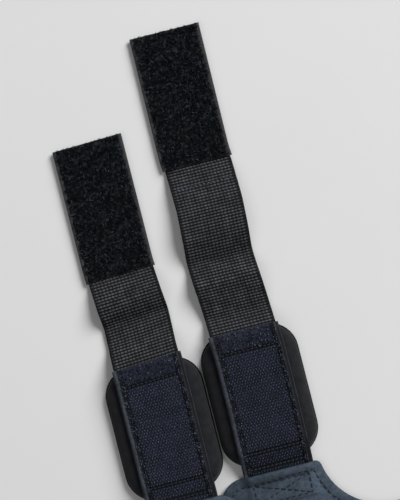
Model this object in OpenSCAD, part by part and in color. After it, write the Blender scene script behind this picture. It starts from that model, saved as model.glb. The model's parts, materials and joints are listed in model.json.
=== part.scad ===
// A pair of hand grips lying flat, outer face up.
// Each grip is a leather palm guard on a wrist band, with a padded cuff and a webbing strap that
// goes through a ring, folds back and closes loop tape on hook tape.
// Each grip is drawn in its own frame: X across the strap towards the fingers, Y along the strap
// towards its tip, origin where the strap comes out of the leather. The left grip is its mirror image.

/* [Strap] */
// Width of the woven webbing
web_w = 30; // [24:0.5:38]
// Thickness of the webbing
web_t = 1.2; // [0.8:0.1:1.6]
// How far each tape stands out past the webbing, per side
tape_overhang = 0.9; // [0.3:0.1:1.5]
// Thickness of the hook tape with its hooks
hook_t = 1.3; // [0.8:0.1:1.8]
// Thickness of the loop tape with its pile
loop_t = 2; // [1:0.1:2.6]
// Length of the loop tape
loop_l = 61; // [48:0.5:76]
// Length of webbing sewn in under the leather
anchor_l = 14; // [10:0.5:20]

/* [Right grip] */
// Length of hook tape that shows on the right cuff
right_hook_l = 63.6; // [56:0.1:78]
// Bare webbing between the right grip's tapes
right_free_l = 77.4; // [60:0.1:96]
// How far the right heel edge lies from the strap's middle
right_heel = 28.3; // [24:0.1:28.5]

/* [Left grip] */
// Length of hook tape that shows on the left cuff
left_hook_l = 65.2; // [56:0.1:78]
// Bare webbing between the left grip's tapes
left_free_l = 40.1; // [30:0.1:96]
// How far the left heel edge lies from the strap's middle
left_heel = 25.5; // [24:0.1:26]

/* [Wrist pad] */
// Width of the pad
pad_w = 44.4; // [36:0.1:44.6]
// Length of the pad along the strap
pad_l = 60.8; // [46:0.2:61]
// Thickness of the pad
pad_t = 5.6; // [4.5:0.1:7]
// Radius of the pad's corners
pad_r = 13; // [8:0.5:16]
// Gap between the leather's edge and the pad
pad_gap = 3.8; // [3:0.1:8]
// Thickness of the pad's cover
cover_t = 0.9; // [0.6:0.1:1.2]
// Thickness of the pad's backing, on the wrist side
backing_t = 1; // [0.6:0.1:1.4]

/* [Leather] */
// Thickness of the outer leather
leather_t = 1.5; // [1:0.1:2]
// Thickness of the lining
lining_t = 1; // [0.6:0.1:1.5]
// Length of the wrist band along the strap
band_l = 88; // [80:0.5:110]
// Radius of the band's corners on the heel side
heel_r = 10.9; // [6:0.1:14]
// Radius of the band's corners on the palm side
band_r = 3.2; // [2:0.1:5]
// Width of the neck between band and palm
neck_w = 35; // [28:0.5:44]
// Radius of the hollow curve from the band into the neck
neck_r = 28.4; // [20:0.1:34]
// Width of the palm
palm_w = 80; // [72:0.5:96]
// From the strap's middle to the finger end
palm_l = 138; // [126:0.5:166]
// Radius of the corners at the finger end
finger_r = 20; // [10:0.5:26]
// Distance of the edge stitching from the leather's edge
stitch_inset = 4; // [3:0.1:5]

/* [Finger holes] */
// Diameter of a finger hole
hole_d = 19.5; // [16:0.1:22]
// Distance between neighbouring finger holes
hole_pitch = 25; // [23:0.1:28]
// From the finger end to the middle of the holes
hole_edge = 18; // [15:0.5:24]

/* [Ring] */
// Diameter of the ring's wire
wire_d = 3; // [2.4:0.1:4]
// Play of the strap across the ring
ring_play = 3; // [2:0.1:8]
// Height inside the ring
ring_open = 8; // [7:0.1:12]
// Radius of the ring's corners, to the wire's middle
ring_r = 3.5; // [2.5:0.1:5]
// Length of keeper webbing sewn in at the ring end
keeper_l = 16; // [10:0.5:20]

/* [Pair] */
// Free space between the two straps
strap_gap = 14.9; // [14.9:0.1:60]
// How far the left grip lies back from the right one
grip_shift = 4.1; // [0:0.1:8]

/* [Hidden] */
$fn = 48;

tape_w = web_w + 2*tape_overhang;
ring_w = web_w + ring_play;               // width inside the ring
grip_pitch = web_w + strap_gap;           // from the middle of one strap to the other's
thread_w = 0.5;
thread_t = 0.3;
stack_gap = thread_t + 0.3;               // air between the left band and the right band under it
lift = lining_t + leather_t + stack_gap;  // the left band lies on the right band's heel
flex_gap = 1.2;                           // from the leather's edge to the cuff's bending line
wire_gap = 0.3;                           // slack of the keeper round the ring's wire
seat_gap = 0.05;                          // from a tape's face to the thread on it
far = 500;

band_mid = -band_l/2;
palm_side = web_w/2 + 1 + band_r;         // palm-side edge of the band
hollow_y = band_mid + neck_w/2 + neck_r;
hollow_x = palm_side + sqrt(neck_r*neck_r - pow(hollow_y + band_r, 2));
flex_x = hollow_x + 0.6;                  // the palm bends at its neck
flare_a = 40;                             // slope of the flare from the neck to the palm
shoulder_r = 30;
palm_top = band_mid + palm_w/2;
flare_rise = palm_top - shoulder_r*(1 - cos(flare_a)) - (hollow_y - neck_r*cos(flare_a));
shoulder_x = hollow_x + (neck_r + shoulder_r)*sin(flare_a) + flare_rise/tan(flare_a);
hole_x = palm_l - hole_edge;

keeper_r = wire_d/2 + wire_gap + web_t;   // outside of the keeper's eye
ring_y = -band_l - keeper_r - 2;          // axis of the ring in its keeper
ring_reach = ring_open + wire_d;          // between the ring's two long sides
right_tip = right_hook_l + right_free_l + loop_l;
left_tip = left_hook_l + left_free_l + loop_l - grip_shift;
ring_end = ring_y - ring_reach - wire_d/2 - grip_shift;
mid_y = (max(right_tip, left_tip) + ring_end)/2;

// Places of the two grips, so that the origin is under the middle of the pair
module on_right() {
    translate([grip_pitch/2, -mid_y, 0]) children();
}
module on_left() {
    translate([-grip_pitch/2, -mid_y - grip_shift, 0]) mirror([1, 0, 0]) children();
}

// ---- curves ----
function ease(t) = (1 - cos(180*min(1, max(0, t))))/2;
function arc(c, r, a0, a1, n) = [for (i = [0:n]) let (a = a0 + (a1 - a0)*i/n) c + r*[cos(a), sin(a)]];
function rounded(x0, y0, x1, y1, r) = concat(
    arc([x1 - r, y1 - r], r, 0, 90, 8), arc([x0 + r, y1 - r], r, 90, 180, 8),
    arc([x0 + r, y0 + r], r, 180, 270, 8), arc([x1 - r, y0 + r], r, 270, 360, 8));

// Height of a smooth wave through points w at y
function leg(w, y, i = 0) = (i >= len(w) - 2 || y <= w[i + 1][0]) ? i : leg(w, y, i + 1);
function wave(w, y) = let (i = leg(w, y))
    w[i][1] + (w[i + 1][1] - w[i][1])*ease((y - w[i][0])/(w[i + 1][0] - w[i][0]));
function beside(w, y, d) = let (m = (wave(w, y + 0.05) - wave(w, y - 0.05))/0.1)
    [y, wave(w, y)] + d*[-m, 1]/sqrt(1 + m*m);

// Middle line of a strap, seen from the side: anchor, cuff, free webbing with its creases, tip.
// humps holds the free webbing's high and low places, as [share of the free length, height].
function strap_line(hook_l, free_l, up, humps) = concat(
    [[-anchor_l, lining_t + web_t/2 + up], [flex_gap, lining_t + web_t/2 + up],
     [pad_gap + 7, pad_t + web_t/2], [pad_gap + pad_l - 3, pad_t + web_t/2]],
    [for (h = humps) [hook_l + free_l*h[0], h[1]]],
    [[hook_l + free_l, web_t/2], [hook_l + free_l + loop_l, web_t/2]]);
right_line = strap_line(right_hook_l, right_free_l, 0,
    [[0.12, 2.4], [0.32, 4.6], [0.5, 2.4], [0.62, 4.4], [0.88, 3.2]]);
left_line = strap_line(left_hook_l, left_free_l, lift, [[0.5, 1.9], [0.72, 3.4]]);
right_fold = right_hook_l + right_free_l/2;
left_fold = left_hook_l + left_free_l/2;

// A strip that follows line w from y0 to y1, between offsets lo and hi from it
module strip(w, y0, y1, lo, hi, width, step = 1.5) {
    n = max(1, ceil((y1 - y0)/step));
    ys = [for (i = [0:n]) y0 + (y1 - y0)*i/n];
    low = [for (y = ys) beside(w, y, lo)];
    high = [for (i = [n:-1:0]) beside(w, ys[i], hi)];
    translate([-width/2, 0, 0]) rotate([90, 0, 90]) linear_extrude(width) polygon(concat(low, high));
}

// ---- leather ----
// Upper half of the outline of band and palm, drawn in by d
function half_outline(heel, d) = concat(
    arc([-heel + heel_r, -heel_r], heel_r - d, 180, 90, 10),
    arc([palm_side - band_r, -band_r], band_r - min(d, band_r - 0.2), 90, 0, 4),
    arc([hollow_x, hollow_y], neck_r + d, 180 + asin((hollow_y + band_r)/neck_r), 270 + flare_a, 18),
    arc([shoulder_x, palm_top - shoulder_r], shoulder_r - d, 90 + flare_a, 90, 8),
    arc([palm_l - finger_r, palm_top - finger_r], finger_r - d, 90, 0, 10));
function down(p) = [for (i = [len(p) - 1:-1:0]) [p[i][0], 2*band_mid - p[i][1]]];
module outline(heel, d = 0) {
    top = half_outline(heel, d);
    polygon(concat(top, down(top)));
}

// A sheet between heights z0 and z1 that comes down from the lifted band to the flat palm
module sheet(z0, z1, up) {
    n = 16;
    x0 = palm_side;
    x1 = flex_x - 2;
    xs = concat([-far], [for (i = [0:n]) x0 + (x1 - x0)*i/n], [far]);
    function rise(x) = up*(1 - ease((x - x0)/(x1 - x0)));
    low = [for (x = xs) [x, z0 + rise(x)]];
    high = [for (i = [len(xs) - 1:-1:0]) [xs[i], z1 + rise(xs[i])]];
    translate([0, far/2, 0]) rotate([90, 0, 0]) linear_extrude(far) polygon(concat(low, high));
}
module band_side() {
    translate([-far, -far, -1]) cube([far + flex_x, 2*far, 40]);
}
module palm_part() {
    translate([flex_x, -far, -1]) cube([far, 2*far, 40]);
}
module finger_holes() {
    for (i = [-1:1]) translate([hole_x, band_mid + i*hole_pitch, -1]) cylinder(h = 10, d = hole_d, $fn = 96);
}

// Space of the strap's end and of the keeper's two plies between lining and leather
module strap_pocket(up, grow, over) {
    translate([-web_w/2 - grow, -anchor_l - grow, lining_t + up])
        cube([web_w + 2*grow, anchor_l + grow + over, web_t + grow]);
}
module keeper_pocket(up, grow, over) {
    translate([-web_w/2 - grow, -band_l - over, lining_t + up])
        cube([web_w + 2*grow, keeper_l + over + grow, 2*web_t + grow]);
}
module band_hide(heel, up) {
    difference() {
        union() {
            intersection() {
                sheet(lining_t, lining_t + leather_t, up);
                linear_extrude(30) outline(heel);
                band_side();
            }
            strap_pocket(up, leather_t, 0);
            keeper_pocket(up, leather_t, 0);
        }
        strap_pocket(up, 0, 1);
        keeper_pocket(up, 0, 1);
    }
}
module palm_hide(heel) {
    difference() {
        intersection() {
            sheet(lining_t, lining_t + leather_t, 0);
            linear_extrude(30) outline(heel);
            palm_part();
        }
        finger_holes();
    }
}
module band_leather(heel, up) {
    color("#46525b") band_hide(heel, up);
}
module palm_leather(heel) {
    color("#46525b") palm_hide(heel);
}
module band_lining(heel, up) {
    color("#23272b") intersection() {
        sheet(0, lining_t, up);
        linear_extrude(30) outline(heel);
        band_side();
    }
}
module palm_lining(heel) {
    color("#23272b") difference() {
        intersection() {
            sheet(0, lining_t, 0);
            linear_extrude(30) outline(heel);
            palm_part();
        }
        finger_holes();
    }
}

// ---- thread ----
module seam(p, q) {
    d = q - p;
    translate(p) rotate(atan2(d[1], d[0])) translate([0, -thread_w/2]) square([norm(d), thread_w]);
}
module frame_seam(x0, y0, x1, y1) {
    seam([x0, y0], [x1, y0]);
    seam([x1, y0], [x1, y1]);
    seam([x1, y1], [x0, y1]);
    seam([x0, y1], [x0, y0]);
}
module edge_seam(heel) {
    difference() {
        outline(heel, stitch_inset);
        outline(heel, stitch_inset + thread_w);
    }
}
// Box and cross over the strap's end, box over the keeper's tails
module box_seams() {
    x = web_w/2 - 2.4;
    y1 = -stitch_inset - 0.4;
    y0 = -anchor_l + 1;
    frame_seam(-x, y0, x, y1);
    seam([-x, y0], [x, y1]);
    seam([-x, y1], [x, y0]);
    frame_seam(-x, -band_l + stitch_inset + 1, x, -band_l + keeper_l - 2);
}
module band_stitching(heel, up) {
    color("#1c2126") intersection() {
        linear_extrude(30) union() {
            edge_seam(heel);
            box_seams();
        }
        difference() {
            translate([0, 0, thread_t]) band_hide(heel, up);
            band_hide(heel, up);
            strap_pocket(up, 0, 1);
            keeper_pocket(up, 0, 1);
        }
    }
}
module palm_stitching(heel) {
    color("#1c2126") intersection() {
        translate([0, 0, lining_t + leather_t]) linear_extrude(thread_t) edge_seam(heel);
        palm_part();
    }
}
// Two edge seams and cross seams on a tape whose upper face is at offset top from line w
module tape_stitching(w, y0, y1, top, rows) {
    color("#15181d") {
        for (s = [-1, 1]) translate([s*(tape_w/2 - 1.6), 0, 0])
            strip(w, y0, y1, top + seat_gap, top + thread_t, thread_w);
        for (y = rows) strip(w, y, y + thread_w, top + seat_gap, top + thread_t, tape_w - 3.2);
    }
}

// ---- strap ----
module webbing(w, y0, y1) {
    color("#34363a") strip(w, y0, y1, -web_t/2, web_t/2, web_w);
}
module hook_tape(w, hook_l) {
    color("#1d212b") strip(w, flex_gap, hook_l, web_t/2, web_t/2 + hook_t, tape_w);
}
module loop_tape(w, y0) {
    color("#0d1016") strip(w, y0, y0 + loop_l, web_t/2, web_t/2 + loop_t, tape_w);
}

// ---- pad ----
// A pillow inside the pad's outline, drawn in by d, with its rim drawn down to rim_z
module pillow(d) {
    rim_z = 2;
    rim = 7;
    x = pad_w/2 - d;
    y0 = pad_gap + d;
    y1 = pad_gap + pad_l - d;
    n = 8;
    down = [for (i = [0:n]) [rim*i/n, rim_z + (pad_t - rim_z)*ease(i/n) - d]];
    up = [for (i = [n:-1:0]) down[i]];
    intersection() {
        linear_extrude(pad_t) polygon(rounded(-x, y0, x, y1, pad_r - d));
        translate([0, y1, 0]) rotate([90, 0, 0]) linear_extrude(y1 - y0) polygon(concat(
            [[x, 0], [-x, 0]], [for (p = down) [p[0] - x, p[1]]], [for (p = up) [x - p[0], p[1]]]));
        translate([-x, 0, 0]) rotate([90, 0, 90]) linear_extrude(2*x) polygon(concat(
            [[y1, 0], [y0, 0]], [for (p = down) [y0 + p[0], p[1]]], [for (p = up) [y1 - p[0], p[1]]]));
    }
}
module above(z) {
    translate([-far/2, -far/2, z]) cube([far, far, 40]);
}
module pad_cover() {
    color("#1a1c1f") difference() {
        intersection() {
            pillow(0);
            above(backing_t);
        }
        pillow(cover_t);
    }
}
module pad_foam() {
    color("#3a3c40") intersection() {
        pillow(cover_t);
        above(backing_t);
    }
}
module pad_backing() {
    color("#222428") linear_extrude(backing_t)
        polygon(rounded(-pad_w/2, pad_gap, pad_w/2, pad_gap + pad_l, pad_r));
}

// ---- ring ----
module bar(p, l, dir) {
    translate(p) rotate(dir) cylinder(h = l, d = wire_d, center = true);
}
module ring(up) {
    x = ring_w/2 + wire_d/2;
    y = ring_y - ring_reach/2;
    color("#17181a") translate([0, 0, keeper_r + up]) {
        for (s = [-1, 1]) {
            bar([0, y + s*ring_reach/2, 0], 2*(x - ring_r), [0, 90, 0]);
            bar([s*x, y, 0], ring_reach - 2*ring_r, [90, 0, 0]);
        }
        for (sx = [-1, 1], sy = [-1, 1])
            translate([sx*(x - ring_r), y + sy*(ring_reach/2 - ring_r), 0])
                rotate(sx > 0 ? (sy > 0 ? 0 : 270) : (sy > 0 ? 90 : 180))
                    rotate_extrude(angle = 90) translate([ring_r, 0]) circle(d = wire_d, $fn = 32);
    }
}
// A strip of webbing folded round the ring's wire, with both ends side by side in the band
module ring_keeper(up) {
    stack_mid = lining_t + web_t - keeper_r;
    color("#34363a") translate([-web_w/2, ring_y, keeper_r + up]) rotate([90, 0, 90])
        linear_extrude(web_w) difference() {
            union() {
                circle(r = keeper_r);
                polygon([[0, -keeper_r], [keeper_r + 2, stack_mid - web_t], [keeper_r + 2, stack_mid + web_t],
                    [0, keeper_r]]);
                translate([keeper_r + 1.5, stack_mid - web_t]) square([keeper_l + 0.5, 2*web_t]);
            }
            circle(r = wire_d/2 + wire_gap);
        }
}

// ---- one grip's stitching on its tapes ----
module hook_stitching(w, hook_l) {
    tape_stitching(w, flex_gap + 1, hook_l - 0.4, web_t/2 + hook_t, [3.3, 10.4, hook_l - 8.7]);
}
module loop_stitching(w, y0) {
    tape_stitching(w, y0 + 0.4, y0 + loop_l - 0.4, web_t/2 + loop_t, []);
    color("#15181d") strip(w, y0 - 9.8, y0 - 9.8 + thread_w, web_t/2 + seat_gap,
        web_t/2 + thread_t, web_w - 4);
}

on_right() band_leather(right_heel, 0);  // right_band_leather
on_right() palm_leather(right_heel);  // right_palm_leather
on_right() band_lining(right_heel, 0);  // right_band_lining
on_right() palm_lining(right_heel);  // right_palm_lining
on_right() webbing(right_line, -anchor_l, flex_gap);  // right_strap_anchor
on_right() webbing(right_line, flex_gap, right_fold);  // right_cuff_webbing
on_right() webbing(right_line, right_fold, right_tip);  // right_tail_webbing
on_right() hook_tape(right_line, right_hook_l);  // right_hook_tape
on_right() loop_tape(right_line, right_tip - loop_l);  // right_loop_tape
on_right() pad_cover();  // right_pad_cover
on_right() pad_foam();  // right_pad_foam
on_right() pad_backing();  // right_pad_backing
on_right() ring(0);  // right_ring
on_right() ring_keeper(0);  // right_ring_keeper
on_right() band_stitching(right_heel, 0);  // right_band_stitching
on_right() palm_stitching(right_heel);  // right_palm_stitching
on_right() hook_stitching(right_line, right_hook_l);  // right_hook_stitching
on_right() loop_stitching(right_line, right_tip - loop_l);  // right_loop_stitching

left_end = left_tip + grip_shift;
on_left() band_leather(left_heel, lift);  // left_band_leather
on_left() palm_leather(left_heel);  // left_palm_leather
on_left() band_lining(left_heel, lift);  // left_band_lining
on_left() palm_lining(left_heel);  // left_palm_lining
on_left() webbing(left_line, -anchor_l, flex_gap);  // left_strap_anchor
on_left() webbing(left_line, flex_gap, left_fold);  // left_cuff_webbing
on_left() webbing(left_line, left_fold, left_end);  // left_tail_webbing
on_left() hook_tape(left_line, left_hook_l);  // left_hook_tape
on_left() loop_tape(left_line, left_end - loop_l);  // left_loop_tape
on_left() pad_cover();  // left_pad_cover
on_left() pad_foam();  // left_pad_foam
on_left() pad_backing();  // left_pad_backing
on_left() ring(lift);  // left_ring
on_left() ring_keeper(lift);  // left_ring_keeper
on_left() band_stitching(left_heel, lift);  // left_band_stitching
on_left() palm_stitching(left_heel);  // left_palm_stitching
on_left() hook_stitching(left_line, left_hook_l);  // left_hook_stitching
on_left() loop_stitching(left_line, left_end - loop_l);  // left_loop_stitching
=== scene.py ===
import json
import math

import bpy
import numpy as np
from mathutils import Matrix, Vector


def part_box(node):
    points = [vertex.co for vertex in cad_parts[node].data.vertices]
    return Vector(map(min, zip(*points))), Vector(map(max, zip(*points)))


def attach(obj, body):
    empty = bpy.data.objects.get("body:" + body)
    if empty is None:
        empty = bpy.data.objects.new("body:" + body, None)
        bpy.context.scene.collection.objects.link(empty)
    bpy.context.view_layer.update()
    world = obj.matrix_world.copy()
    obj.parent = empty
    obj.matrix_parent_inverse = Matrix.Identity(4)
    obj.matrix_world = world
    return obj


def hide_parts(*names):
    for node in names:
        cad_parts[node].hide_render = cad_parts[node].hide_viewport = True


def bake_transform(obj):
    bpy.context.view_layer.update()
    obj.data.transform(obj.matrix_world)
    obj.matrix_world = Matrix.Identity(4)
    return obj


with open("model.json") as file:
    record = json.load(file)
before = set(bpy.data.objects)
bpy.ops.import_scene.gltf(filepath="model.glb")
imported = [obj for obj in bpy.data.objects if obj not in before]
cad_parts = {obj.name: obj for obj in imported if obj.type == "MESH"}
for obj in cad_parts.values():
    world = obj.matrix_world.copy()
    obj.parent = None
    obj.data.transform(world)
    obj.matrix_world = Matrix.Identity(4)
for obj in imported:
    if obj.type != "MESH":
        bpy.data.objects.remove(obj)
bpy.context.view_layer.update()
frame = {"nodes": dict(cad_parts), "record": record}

MM = 0.001
FLEX_GAP = 1.2          # from the leather's edge to the cuff's bending line
STITCH_INSET = 4.0      # from the leather's edge to its edge seam
THREAD_SINK = 0.3       # how deep a stitch's ends go in
SEAM_DENT, SEAM_WIDTH = 0.09, 0.6
EDGE_ROLL = 0.35        # how far the leather's cut edge is rounded down
HEEL_R, BAND_R, NECK_R, SHOULDER_R, FINGER_R = 10.9, 3.2, 28.4, 30.0, 20.0
NECK_W = 35.0
PAD_RAMP = 7            # from the pad's end to where the strap is up on it
PAD_RUNOUT = 2.4        # from where the strap leaves the pad's top to the pad's far end
FLARE = math.radians(40)
RIB, COLUMN = 1.31, 1.6  # weave of the webbing, along and across
WEAVE_DEPTH = 0.3
HOOK_PITCH = 1.28
SMOOTH_IN, SMOOTH_OUT = 3.6, 3.4  # smooth strips of the hook tape, on the heel's side and the palm's side
LOOPS = 4300
LOOP_WIRE = 0.115       # radius of one loop's fibre
TACK_ROW = 9.6          # from the loop tape down to the row of tacks
PAD_CORNER = 13         # corner radius of the cuff
VOXEL = 0.9             # of the cuff's remeshing
PRESSURE, SWELL_FRAMES, SWELL_CAP = 4, 20, 0.7

VIEW_H = 222.2          # height of what the camera sees
LENS = 120
LEAN = math.radians(14.3)
AIM = (-9.8, 103.4, 0)  # middle of the view, in the right grip's frame
FLOOR_DROP = 0.2        # from the grips' underside down to the floor
AMBIENT = 0.12
# Lamps in metres from the aim: ahead, to the right, up, size, then watts
LAMPS = {"key": (2.1, 1.9, 2.0, 2.2, 158), "fill": (-0.9, -1.2, 2.2, 2.4, 12)}

# Free webbing seen from the side: (share of the free length, height of its middle line)
WAVES = {
    "right": [(0.10, 1.2), (0.22, 3.4), (0.305, 5.0), (0.405, 1.5), (0.44, 1.2), (0.565, 5.0), (0.63, 5.5),
              (0.88, 3.0)],
    "left": [(0.05, 5.6), (0.26, 1.2), (0.50, 1.0), (0.60, 4.0), (0.70, 5.2), (0.88, 3.0)],
}
# Sideways drift of the strap along its length, as (y, x), in the grip's own frame
DRIFTS = {
    "right": [(0, 0), (30, 0.5), (55, 0.5), (62, 0), (72, -0.4), (82, -1.0), (92, -1.8), (99, -2.1),
              (108, -1.4), (122, -0.7), (140, -1.2), (145, -1.8), (202, -1.3)],
    "left": [(60, 0), (70, 0.4), (85, 0.1), (92, 0.7), (104, 1.7), (108, 2.1), (170, 2.1)],
}
# How much the weave runs out of square, as (y, rise of y per x)
SLANTS = {
    "right": [(0, 0), (300, 0)],
    "left": [(40, 0), (66, -0.064), (90, -0.064), (104, -0.04), (170, -0.03)],
}


def ease(t):
    return (1 - np.cos(np.pi*np.clip(t, 0, 1)))/2


def along(y, points, blur):
    """A line through points, its corners softened over blur millimetres."""
    px, py = np.array(points, float).T
    y = np.asarray(y, float)
    steps = np.linspace(-2, 2, 9)
    weights = np.exp(-steps*steps/2)
    return sum(w*np.interp(y + s*blur, px, py) for s, w in zip(steps, weights))/weights.sum()


def arc(cx, cy, r, a0, a1, n):
    a = np.linspace(a0, a1, n)
    return [(cx + r*math.cos(t), cy + r*math.sin(t)) for t in a]


def resample(points, step):
    """Points at equal steps along a path."""
    p = np.array(points, float)
    s = np.concatenate([[0], np.cumsum(np.linalg.norm(np.diff(p, axis=0), axis=1))])
    n = max(2, int(round(s[-1]/step)) + 1)
    t = np.linspace(0, s[-1], n)
    return np.stack([np.interp(t, s, p[:, k]) for k in range(p.shape[1])], axis=1)


def distance_to(path, x, y):
    """Distance of each point to a path of straight legs."""
    best = np.full(x.shape, 1e9)
    for (x0, y0), (x1, y1) in zip(path[:-1], path[1:]):
        dx, dy = x1 - x0, y1 - y0
        t = np.clip(((x - x0)*dx + (y - y0)*dy)/max(dx*dx + dy*dy, 1e-9), 0, 1)
        best = np.minimum(best, np.hypot(x - x0 - t*dx, y - y0 - t*dy))
    return best


def ripple(x, y, seed, size):
    """A smooth uneven surface, from -1 to 1, with bumps of about size millimetres."""
    r = np.random.default_rng(seed)
    total = 0
    for _ in range(7):
        a, p = r.uniform(0, 2*np.pi, 2)
        k = 2*np.pi/(size*r.uniform(0.7, 1.6))
        total = total + np.sin(k*(x*math.cos(a) + y*math.sin(a)) + p)
    return total/7


class Grip:
    """One grip, in millimetres: x across the strap towards the fingers, y along it towards its tip."""

    def __init__(self, side):
        self.side = side
        self.sign = 1 if side == "right" else -1
        lo, hi = self.raw("hook_tape")
        self.ox = (lo[0] + hi[0])/2
        self.oy = lo[1] - FLEX_GAP
        self.tape_w = hi[0] - lo[0]
        self.hook_l = hi[1] - self.oy
        lo, hi = self.raw("loop_tape")
        self.loop_y0, self.loop_y1 = lo[1] - self.oy, hi[1] - self.oy
        self.free_l = self.loop_y0 - self.hook_l
        lo, hi = self.raw("strap_anchor")
        self.web_w, self.web_t = hi[0] - lo[0], hi[2] - lo[2]
        self.anchor_z, self.anchor_l = (lo[2] + hi[2])/2, self.oy - lo[1]
        self.loop_t = self.raw("loop_tape")[1][2] - self.web_t
        lo, hi = self.raw("pad_backing")
        self.pad_x, self.pad_y0, self.pad_y1 = (hi[0] - lo[0])/2, lo[1] - self.oy, hi[1] - self.oy
        self.backing_t = hi[2]
        self.pad_t = self.raw("pad_cover")[1][2]
        lo, hi = self.raw("band_leather")
        self.band_l = self.oy - lo[1]
        self.heel = -min(self.local_x(lo[0]), self.local_x(hi[0]))
        lo, hi = self.raw("palm_leather")
        self.palm_l = max(self.local_x(lo[0]), self.local_x(hi[0]))
        self.flex_x = min(self.local_x(lo[0]), self.local_x(hi[0]))
        self.palm_w = hi[1] - lo[1]
        self.leather_t = hi[2] - lo[2]
        self.lining_t = self.raw("palm_lining")[1][2]
        self.lift = self.anchor_z - self.web_t/2 - self.lining_t
        self.mid = -self.band_l/2
        lo, hi = self.raw("ring")
        self.wire_r = (hi[2] - lo[2])/2
        self.ring_z = (hi[2] + lo[2])/2
        self.ring_y = hi[1] - self.oy - self.wire_r
        self.keeper_r = self.ring_z - self.raw("ring_keeper")[0][2]
        self.keeper_l = self.raw("ring_keeper")[1][1] - self.oy + self.band_l

    def raw(self, node):
        lo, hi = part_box(self.node(node))
        return np.array(lo)/MM, np.array(hi)/MM

    def node(self, name):
        return f"{self.side}_{name}"

    def local_x(self, x):
        return self.sign*(x - self.ox)

    def world(self, p):
        q = np.array(p, float)
        q[..., 0] = self.ox + self.sign*q[..., 0]
        q[..., 1] += self.oy
        return q*MM

    def point(self, x, y, z):
        return tuple(float(c) for c in self.world(np.array([x, y, z])))

    # ---- strap ----
    def line(self, y):
        """Height of the strap's middle line."""
        pad_z = self.pad_t + self.web_t/2
        wave = [(self.hook_l + self.free_l*f, z) for f, z in WAVES[self.side]]
        points = [(-self.anchor_l, self.anchor_z), (FLEX_GAP, self.anchor_z), (self.pad_y0 + PAD_RAMP, pad_z),
                  (self.pad_y1 - PAD_RUNOUT, pad_z), *wave,
                  (self.loop_y0 + 0.4, self.web_t/2), (self.loop_y1, self.web_t/2)]
        return along(y, points, 1.0)

    def on_strap(self, x, y, out):
        """A point at offset out from the strap's middle line, x across it and y along it."""
        slope = (self.line(y + 0.1) - self.line(y - 0.1))/0.2
        size = np.sqrt(1 + slope*slope)
        drift = along(y, DRIFTS[self.side], 2)
        slant = along(y, SLANTS[self.side], 2)
        return np.stack([x + drift, y + slant*x - out*slope/size, self.line(y) + out/size], axis=-1)

    # ---- leather ----
    def base(self, x):
        """How far the band is lifted off the table where it lies on the other grip."""
        side = self.web_w/2 + 1 + BAND_R
        return self.lift*(1 - ease((x - side)/(self.flex_x - 2 - side)))

    def half_outline(self, d):
        """Upper half of the outline of band and palm, drawn in by d."""
        side = self.web_w/2 + 1 + BAND_R
        hollow_y = self.mid + NECK_W/2 + NECK_R
        hollow_x = side + math.sqrt(NECK_R**2 - (hollow_y + BAND_R)**2)
        top = self.mid + self.palm_w/2
        rise = top - SHOULDER_R*(1 - math.cos(FLARE)) - (hollow_y - NECK_R*math.cos(FLARE))
        shoulder_x = hollow_x + (NECK_R + SHOULDER_R)*math.sin(FLARE) + rise/math.tan(FLARE)
        half = math.pi/2
        return (arc(-self.heel + HEEL_R, -HEEL_R, HEEL_R - d, math.pi, half, 12)
                + arc(side - BAND_R, -BAND_R, BAND_R - min(d, BAND_R - 0.2), half, 0, 5)
                + arc(hollow_x, hollow_y, NECK_R + d, math.pi + math.asin((hollow_y + BAND_R)/NECK_R),
                      3*half + FLARE, 24)
                + arc(shoulder_x, top - SHOULDER_R, SHOULDER_R - d, half + FLARE, half, 8)
                + arc(self.palm_l - FINGER_R, top - FINGER_R, FINGER_R - d, half, 0, 12))

    def outline(self, d=0.0):
        """The closed outline of band and palm, drawn in by d."""
        top = self.half_outline(d)
        return top + [(x, 2*self.mid - y) for x, y in reversed(top)] + [top[0]]

    def cover_rise(self, x, y):
        """How far the leather stands up over the strap's end and over the keeper's two plies."""
        side = ease((self.web_w/2 + 2.0 - np.abs(x))/3.6)
        strap = self.web_t*side*ease((y + self.anchor_l + 1.6)/2.2)
        tape = 1.25*ease((self.tape_w/2 + 2.8 - np.abs(x))/4.6)*ease((y + 5.2)/4.0)
        keeper = 2*self.web_t*side*ease((-self.band_l + self.keeper_l + 1.6 - y)/2.2)
        return strap + tape + keeper

    def box_seams(self):
        """The box with its cross over the strap's end, and the box over the keeper."""
        x = self.web_w/2 - 2.4
        y1, y0 = -STITCH_INSET - 0.4, -self.anchor_l + 1
        k0, k1 = -self.band_l + STITCH_INSET + 1, -self.band_l + self.keeper_l - 2
        return [[(-x, y0), (x, y0), (x, y1), (-x, y1), (-x, y0)], [(-x, y0), (x, y1)], [(-x, y1), (x, y0)],
                [(-x, k0), (x, k0), (x, k1), (-x, k1), (-x, k0)]]

    def leather_top(self, x, y):
        """Height of the leather's upper face, with the dents that its seams pull in."""
        z = self.base(x) + self.lining_t + self.leather_t + self.cover_rise(x, y)
        z = z + 0.16*ripple(x, y, 11, 19) + 0.07*ripple(x, y, 12, 7)
        edge = distance_to(self.outline(), x, y)
        z = z - EDGE_ROLL*np.clip(1 - edge, 0, 1)**2
        z = z - SEAM_DENT*np.exp(-((edge - STITCH_INSET)/SEAM_WIDTH)**2)
        for seam in self.box_seams():
            z = z - SEAM_DENT*np.exp(-(distance_to(seam, x, y)/SEAM_WIDTH)**2)
        return z


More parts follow.
